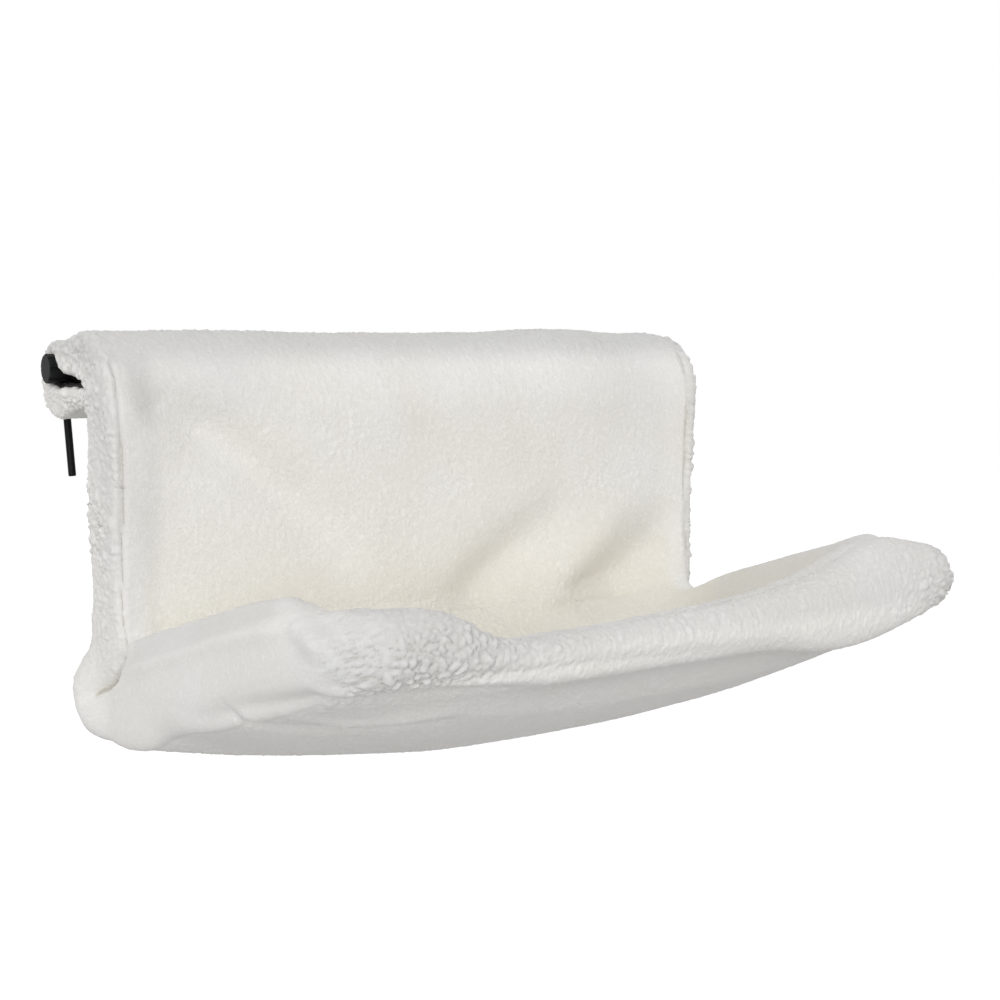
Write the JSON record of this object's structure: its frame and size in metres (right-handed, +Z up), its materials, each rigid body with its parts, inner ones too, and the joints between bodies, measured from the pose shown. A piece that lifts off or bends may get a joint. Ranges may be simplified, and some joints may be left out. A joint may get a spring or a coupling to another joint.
{
  "type": "hanging cat bed",
  "caption": "Cat bed that hangs on a radiator: a black steel tube frame with hook rods behind, a fleece cover over its backrest and a seat that hangs slack and rises to the front.",
  "frame": {"origin": "centre of the cover's flat underside that rests on the radiator's top", "axes": "+X along the radiator, +Y back towards the wall, +Z up; the seat stands out to -Y"},
  "size_m": [0.46, 0.4159, 0.2655],
  "materials": {
    "frame": "black powder coat, satin",
    "screw": "zinc plated",
    "block": "moulded",
    "knob": "moulded, fine texture",
    "fleece": "curly pile, off-white",
    "tape": "hook and loop tape"
  },
  "bodies": {
    "bed": {"top_crossbar": "frame", "seat_front_tube": "frame", "left_side_tube": "frame", "right_side_tube": "frame", "left_joint_screw": "screw", "right_joint_screw": "screw", "left_clamp_block": "block", "right_clamp_block": "block", "cover_top_wrap": "fleece", "backrest_front_panel": "fleece", "backrest_rear_panel": "fleece", "seat_top_panel": "fleece", "seat_under_panel": "fleece", "seat_front_roll": "fleece", "left_backrest_gusset": "fleece", "right_backrest_gusset": "fleece", "left_seat_gusset": "fleece", "right_seat_gusset": "fleece", "closure_loop_tape": "tape", "closure_hook_tape": "tape"},
    "left_hook": {"left_hook_rod": "frame", "left_hook_collar": "screw"},
    "left_clamp": {"left_clamp_screw": "screw", "left_clamp_knob": "knob"},
    "right_hook": {"right_hook_rod": "frame", "right_hook_collar": "screw"},
    "right_clamp": {"right_clamp_screw": "screw", "right_clamp_knob": "knob"}
  },
  "joints": [
    {"name": "left_hook_slide", "type": "slide", "parent": "bed", "child": "left_hook", "axis": [0, 1, 0], "range_m": [0, 0.038]},
    {"name": "left_clamp_turn", "type": "hinge", "parent": "bed", "child": "left_clamp", "pos_m": [-0.21, 0.025, 0.022], "axis": [-1, 0, 0], "range_deg": [0, 360]},
    {"name": "right_hook_slide", "type": "slide", "parent": "bed", "child": "right_hook", "axis": [0, 1, 0], "range_m": [0, 0.038]},
    {"name": "right_clamp_turn", "type": "hinge", "parent": "bed", "child": "right_clamp", "pos_m": [0.21, 0.025, 0.022], "axis": [1, 0, 0], "range_deg": [0, 360]}
  ]
}
